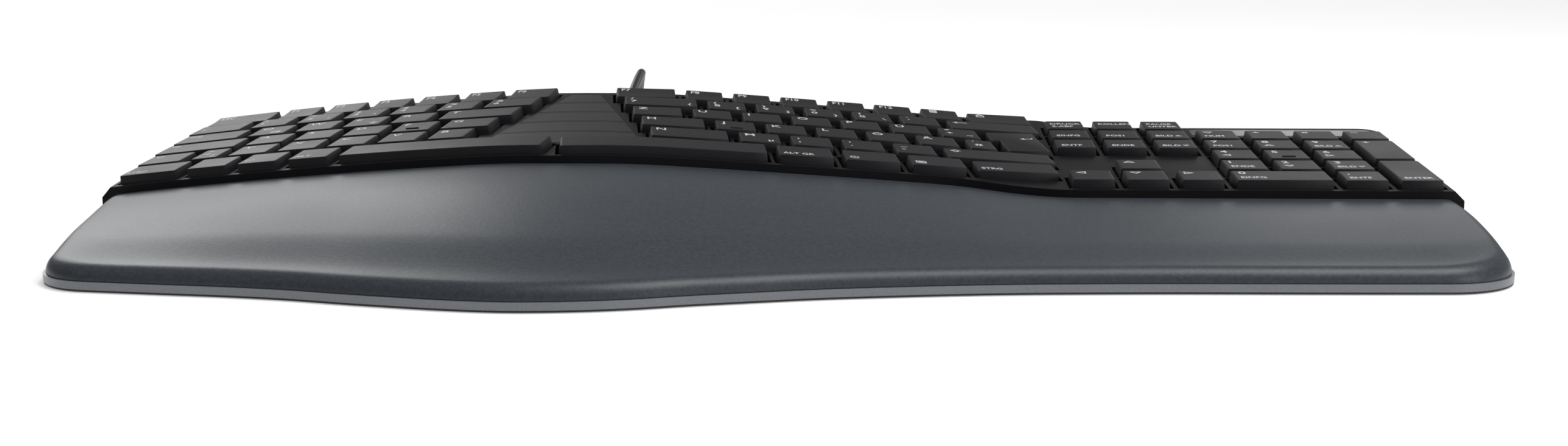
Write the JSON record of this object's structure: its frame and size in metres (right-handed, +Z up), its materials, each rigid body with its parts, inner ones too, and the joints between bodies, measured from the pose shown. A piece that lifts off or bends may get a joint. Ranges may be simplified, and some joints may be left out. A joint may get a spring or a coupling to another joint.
{
  "type": "ergonomic keyboard",
  "caption": "Wired ergonomic keyboard with a domed, splayed key field, number pad, padded palm rest and flip-out feet.",
  "frame": {"origin": "middle of the keyboard's footprint on the table, the cord not counted", "axes": "+X to the typist's right along the key rows, +Y away from the typist, +Z up"},
  "size_m": [0.4816, 0.4425, 0.0427],
  "materials": {
    "keycap_plastic": "matte",
    "frame_plastic": "matte",
    "panel_plastic": "matte",
    "case_plastic": "matte",
    "window_plastic": "gloss",
    "inner_plastic": "matte",
    "dome_rubber": "matte",
    "membrane_film": "satin",
    "plate_steel": "satin",
    "board_laminate": "satin",
    "cord_rubber": "satin",
    "tie_plastic": "matte",
    "plug_plastic": "satin",
    "shell_steel": "satin",
    "cushion_skin": "satin",
    "silver_trim": "satin",
    "foot_rubber": "matte",
    "foot_plastic": "matte",
    "screw_steel": "satin"
  },
  "bodies": {
    "case": {"bottom_case": "case_plastic", "top_frame": "frame_plastic", "centre_panel": "panel_plastic", "indicator_panel": "window_plastic", "key_guide_plate": "inner_plastic", "rubber_domes": "dome_rubber", "membrane_sheet": "membrane_film", "support_plate": "plate_steel", "controller_board": "board_laminate", "cable_strain_relief": "cord_rubber", "cord": "cord_rubber", "cord_coil": "cord_rubber", "coil_tie": "tie_plastic", "plug_grip": "plug_plastic", "plug_shell": "shell_steel", "palm_rest_base": "case_plastic", "palm_rest_cushion": "cushion_skin", "palm_rest_trim": "silver_trim", "rubber_feet": "foot_rubber", "case_screws": "screw_steel"},
    "key_control_left_body": {"key_control_left": "keycap_plastic"},
    "keys_modifier_left_body": {"keys_modifier_left": "keycap_plastic"},
    "key_space_left_body": {"key_space_left": "keycap_plastic"},
    "key_shift_left_body": {"key_shift_left": "keycap_plastic"},
    "keys_letter_lower_left_body": {"keys_letter_lower_left": "keycap_plastic"},
    "key_caps_lock_body": {"key_caps_lock": "keycap_plastic"},
    "keys_letter_home_left_body": {"keys_letter_home_left": "keycap_plastic"},
    "key_tab_body": {"key_tab": "keycap_plastic"},
    "keys_letter_upper_left_body": {"keys_letter_upper_left": "keycap_plastic"},
    "keys_number_left_body": {"keys_number_left": "keycap_plastic"},
    "key_escape_body": {"key_escape": "keycap_plastic"},
    "keys_function_left_body": {"keys_function_left": "keycap_plastic"},
    "key_space_right_body": {"key_space_right": "keycap_plastic"},
    "keys_modifier_right_body": {"keys_modifier_right": "keycap_plastic"},
    "key_control_right_body": {"key_control_right": "keycap_plastic"},
    "keys_letter_lower_right_body": {"keys_letter_lower_right": "keycap_plastic"},
    "key_shift_right_body": {"key_shift_right": "keycap_plastic"},
    "keys_letter_home_right_body": {"keys_letter_home_right": "keycap_plastic"},
    "keys_letter_upper_right_body": {"keys_letter_upper_right": "keycap_plastic"},
    "keys_number_right_body": {"keys_number_right": "keycap_plastic"},
    "key_backspace_body": {"key_backspace": "keycap_plastic"},
    "keys_function_right_body": {"keys_function_right": "keycap_plastic"},
    "key_arrow_left_body": {"key_arrow_left": "keycap_plastic"},
    "key_arrow_down_body": {"key_arrow_down": "keycap_plastic"},
    "key_arrow_right_body": {"key_arrow_right": "keycap_plastic"},
    "key_pad_zero_body": {"key_pad_zero": "keycap_plastic"},
    "key_pad_decimal_body": {"key_pad_decimal": "keycap_plastic"},
    "key_arrow_up_body": {"key_arrow_up": "keycap_plastic"},
    "keys_pad_lower_body": {"keys_pad_lower": "keycap_plastic"},
    "keys_pad_middle_body": {"keys_pad_middle": "keycap_plastic"},
    "keys_edit_lower_body": {"keys_edit_lower": "keycap_plastic"},
    "keys_pad_upper_body": {"keys_pad_upper": "keycap_plastic"},
    "keys_edit_upper_body": {"keys_edit_upper": "keycap_plastic"},
    "keys_pad_top_body": {"keys_pad_top": "keycap_plastic"},
    "keys_system_body": {"keys_system": "keycap_plastic"},
    "key_pad_enter_body": {"key_pad_enter": "keycap_plastic"},
    "key_pad_plus_body": {"key_pad_plus": "keycap_plastic"},
    "key_enter_body": {"key_enter": "keycap_plastic"},
    "tilt_foot_left_body": {"tilt_foot_left": "foot_plastic"},
    "tilt_foot_right_body": {"tilt_foot_right": "foot_plastic"}
  },
  "joints": [
    {"name": "key_control_left_press", "type": "slide", "parent": "case", "child": "key_control_left_body", "axis": [-0.1313, -0.0623, 0.9894], "range_m": [-0.0032, 0], "stiffness_N_per_m": 120, "springref_m": 0.0015, "deforming": ["rubber_domes"]},
    {"name": "keys_modifier_left_press", "type": "slide", "parent": "case", "child": "keys_modifier_left_body", "axis": [-0.1144, -0.0657, 0.9913], "range_m": [-0.0032, 0], "stiffness_N_per_m": 360, "springref_m": 0.0015, "deforming": ["rubber_domes"]},
    {"name": "key_space_left_press", "type": "slide", "parent": "case", "child": "key_space_left_body", "axis": [-0.087, -0.0704, 0.9937], "range_m": [-0.0032, 0], "stiffness_N_per_m": 120, "springref_m": 0.0015, "deforming": ["rubber_domes"]},
    {"name": "key_shift_left_press", "type": "slide", "parent": "case", "child": "key_shift_left_body", "axis": [-0.1338, -0.0621, 0.9891], "range_m": [-0.0032, 0], "stiffness_N_per_m": 120, "springref_m": 0.0015, "deforming": ["rubber_domes"]},
    {"name": "keys_letter_lower_left_press", "type": "slide", "parent": "case", "child": "keys_letter_lower_left_body", "axis": [-0.1078, -0.0671, 0.9919], "range_m": [-0.0032, 0], "stiffness_N_per_m": 720, "springref_m": 0.0015, "deforming": ["rubber_domes"]},
    {"name": "key_caps_lock_press", "type": "slide", "parent": "case", "child": "key_caps_lock_body", "axis": [-0.1321, -0.0628, 0.9892], "range_m": [-0.0032, 0], "stiffness_N_per_m": 120, "springref_m": 0.0015, "deforming": ["rubber_domes"]},
    {"name": "keys_letter_home_left_press", "type": "slide", "parent": "case", "child": "keys_letter_home_left_body", "axis": [-0.1046, -0.0679, 0.9922], "range_m": [-0.0032, 0], "stiffness_N_per_m": 600, "springref_m": 0.0015, "deforming": ["rubber_domes"]},
    {"name": "key_tab_press", "type": "slide", "parent": "case", "child": "key_tab_body", "axis": [-0.1344, -0.0626, 0.9889], "range_m": [-0.0032, 0], "stiffness_N_per_m": 120, "springref_m": 0.0015, "deforming": ["rubber_domes"]},
    {"name": "keys_letter_upper_left_press", "type": "slide", "parent": "case", "child": "keys_letter_upper_left_body", "axis": [-0.1074, -0.0676, 0.9919], "range_m": [-0.0032, 0], "stiffness_N_per_m": 600, "springref_m": 0.0015, "deforming": ["rubber_domes"]},
    {"name": "keys_number_left_press", "type": "slide", "parent": "case", "child": "keys_number_left_body", "axis": [-0.1104, -0.0671, 0.9916], "range_m": [-0.0032, 0], "stiffness_N_per_m": 840, "springref_m": 0.0015, "deforming": ["rubber_domes"]},
    {"name": "key_escape_press", "type": "slide", "parent": "case", "child": "key_escape_body", "axis": [-0.137, -0.0627, 0.9886], "range_m": [-0.0032, 0], "stiffness_N_per_m": 120, "springref_m": 0.0015, "deforming": ["rubber_domes"]},
    {"name": "keys_function_left_press", "type": "slide", "parent": "case", "child": "keys_function_left_body", "axis": [-0.1031, -0.0683, 0.9923], "range_m": [-0.0032, 0], "stiffness_N_per_m": 720, "springref_m": 0.0015, "deforming": ["rubber_domes"]},
    {"name": "key_space_right_press", "type": "slide", "parent": "case", "child": "key_space_right_body", "axis": [0.074, -0.0713, 0.9947], "range_m": [-0.0032, 0], "stiffness_N_per_m": 120, "springref_m": 0.0015, "deforming": ["rubber_domes"]},
    {"name": "keys_modifier_right_press", "type": "slide", "parent": "case", "child": "keys_modifier_right_body", "axis": [0.0939, -0.0668, 0.9933], "range_m": [-0.0032, 0], "stiffness_N_per_m": 360, "springref_m": 0.0015, "deforming": ["rubber_domes"]},
    {"name": "key_control_right_press", "type": "slide", "parent": "case", "child": "key_control_right_body", "axis": [0.0683, -0.0637, 0.9956], "range_m": [-0.0032, 0], "stiffness_N_per_m": 120, "springref_m": 0.0015, "deforming": ["rubber_domes"]},
    {"name": "keys_letter_lower_right_press", "type": "slide", "parent": "case", "child": "keys_letter_lower_right_body", "axis": [0.0914, -0.0682, 0.9935], "range_m": [-0.0032, 0], "stiffness_N_per_m": 600, "springref_m": 0.0015, "deforming": ["rubber_domes"]},
    {"name": "key_shift_right_press", "type": "slide", "parent": "case", "child": "key_shift_right_body", "axis": [0.0882, -0.0638, 0.9941], "range_m": [-0.0032, 0], "stiffness_N_per_m": 120, "springref_m": 0.0015, "deforming": ["rubber_domes"]},
    {"name": "keys_letter_home_right_press", "type": "slide", "parent": "case", "child": "keys_letter_home_right_body", "axis": [0.093, -0.0676, 0.9934], "range_m": [-0.0032, 0], "stiffness_N_per_m": 840, "springref_m": 0.0015, "deforming": ["rubber_domes"]},
    {"name": "keys_letter_upper_right_press", "type": "slide", "parent": "case", "child": "keys_letter_upper_right_body", "axis": [0.0904, -0.0682, 0.9936], "range_m": [-0.0032, 0], "stiffness_N_per_m": 840, "springref_m": 0.0015, "deforming": ["rubber_domes"]},
    {"name": "keys_number_right_press", "type": "slide", "parent": "case", "child": "keys_number_right_body", "axis": [0.0899, -0.0685, 0.9936], "range_m": [-0.0032, 0], "stiffness_N_per_m": 720, "springref_m": 0.0015, "deforming": ["rubber_domes"]},
    {"name": "key_backspace_press", "type": "slide", "parent": "case", "child": "key_backspace_body", "axis": [0.0847, -0.0638, 0.9944], "range_m": [-0.0032, 0], "stiffness_N_per_m": 120, "springref_m": 0.0015, "deforming": ["rubber_domes"]},
    {"name": "keys_function_right_press", "type": "slide", "parent": "case", "child": "keys_function_right_body", "axis": [0.0866, -0.0679, 0.9939], "range_m": [-0.0032, 0], "stiffness_N_per_m": 960, "springref_m": 0.0015, "deforming": ["rubber_domes"]},
    {"name": "key_arrow_left_press", "type": "slide", "parent": "case", "child": "key_arrow_left_body", "axis": [0, -0.0635, 0.998], "range_m": [-0.0032, 0], "stiffness_N_per_m": 120, "springref_m": 0.0015, "deforming": ["rubber_domes"]},
    {"name": "key_arrow_down_press", "type": "slide", "parent": "case", "child": "key_arrow_down_body", "axis": [0, -0.0635, 0.998], "range_m": [-0.0032, 0], "stiffness_N_per_m": 120, "springref_m": 0.0015, "deforming": ["rubber_domes"]},
    {"name": "key_arrow_right_press", "type": "slide", "parent": "case", "child": "key_arrow_right_body", "axis": [0, -0.0635, 0.998], "range_m": [-0.0032, 0], "stiffness_N_per_m": 120, "springref_m": 0.0015, "deforming": ["rubber_domes"]},
    {"name": "key_pad_zero_press", "type": "slide", "parent": "case", "child": "key_pad_zero_body", "axis": [0, -0.0635, 0.998], "range_m": [-0.0032, 0], "stiffness_N_per_m": 120, "springref_m": 0.0015, "deforming": ["rubber_domes"]},
    {"name": "key_pad_decimal_press", "type": "slide", "parent": "case", "child": "key_pad_decimal_body", "axis": [0, -0.0635, 0.998], "range_m": [-0.0032, 0], "stiffness_N_per_m": 120, "springref_m": 0.0015, "deforming": ["rubber_domes"]},
    {"name": "key_arrow_up_press", "type": "slide", "parent": "case", "child": "key_arrow_up_body", "axis": [0, -0.0635, 0.998], "range_m": [-0.0032, 0], "stiffness_N_per_m": 120, "springref_m": 0.0015, "deforming": ["rubber_domes"]},
    {"name": "keys_pad_lower_press", "type": "slide", "parent": "case", "child": "keys_pad_lower_body", "axis": [0, -0.0635, 0.998], "range_m": [-0.0032, 0], "stiffness_N_per_m": 360, "springref_m": 0.0015, "deforming": ["rubber_domes"]},
    {"name": "keys_pad_middle_press", "type": "slide", "parent": "case", "child": "keys_pad_middle_body", "axis": [0, -0.0635, 0.998], "range_m": [-0.0032, 0], "stiffness_N_per_m": 360, "springref_m": 0.0015, "deforming": ["rubber_domes"]},
    {"name": "keys_edit_lower_press", "type": "slide", "parent": "case", "child": "keys_edit_lower_body", "axis": [0, -0.0635, 0.998], "range_m": [-0.0032, 0], "stiffness_N_per_m": 360, "springref_m": 0.0015, "deforming": ["rubber_domes"]},
    {"name": "keys_pad_upper_press", "type": "slide", "parent": "case", "child": "keys_pad_upper_body", "axis": [0, -0.0635, 0.998], "range_m": [-0.0032, 0], "stiffness_N_per_m": 360, "springref_m": 0.0015, "deforming": ["rubber_domes"]},
    {"name": "keys_edit_upper_press", "type": "slide", "parent": "case", "child": "keys_edit_upper_body", "axis": [0, -0.0635, 0.998], "range_m": [-0.0032, 0], "stiffness_N_per_m": 360, "springref_m": 0.0015, "deforming": ["rubber_domes"]},
    {"name": "keys_pad_top_press", "type": "slide", "parent": "case", "child": "keys_pad_top_body", "axis": [0, -0.0635, 0.998], "range_m": [-0.0032, 0], "stiffness_N_per_m": 480, "springref_m": 0.0015, "deforming": ["rubber_domes"]},
    {"name": "keys_system_press", "type": "slide", "parent": "case", "child": "keys_system_body", "axis": [0, -0.0635, 0.998], "range_m": [-0.0032, 0], "stiffness_N_per_m": 360, "springref_m": 0.0015, "deforming": ["rubber_domes"]},
    {"name": "key_pad_enter_press", "type": "slide", "parent": "case", "child": "key_pad_enter_body", "axis": [0, -0.0635, 0.998], "range_m": [-0.0032, 0], "stiffness_N_per_m": 120, "springref_m": 0.0015, "deforming": ["rubber_domes"]},
    {"name": "key_pad_plus_press", "type": "slide", "parent": "case", "child": "key_pad_plus_body", "axis": [0, -0.0635, 0.998], "range_m": [-0.0032, 0], "stiffness_N_per_m": 120, "springref_m": 0.0015, "deforming": ["rubber_domes"]},
    {"name": "key_enter_press", "type": "slide", "parent": "case", "child": "key_enter_body", "axis": [0.0448, -0.0636, 0.997], "range_m": [-0.0032, 0], "stiffness_N_per_m": 120, "springref_m": 0.0015, "deforming": ["rubber_domes"]},
    {"name": "tilt_foot_left_hinge", "type": "hinge", "parent": "case", "child": "tilt_foot_left_body", "pos_m": [-0.148, 0.09463, 0.0033], "axis": [1, 0, 0], "range_deg": [0, 90]},
    {"name": "tilt_foot_right_hinge", "type": "hinge", "parent": "case", "child": "tilt_foot_right_body", "pos_m": [0.148, 0.09463, 0.0033], "axis": [1, 0, 0], "range_deg": [0, 90]}
  ]
}
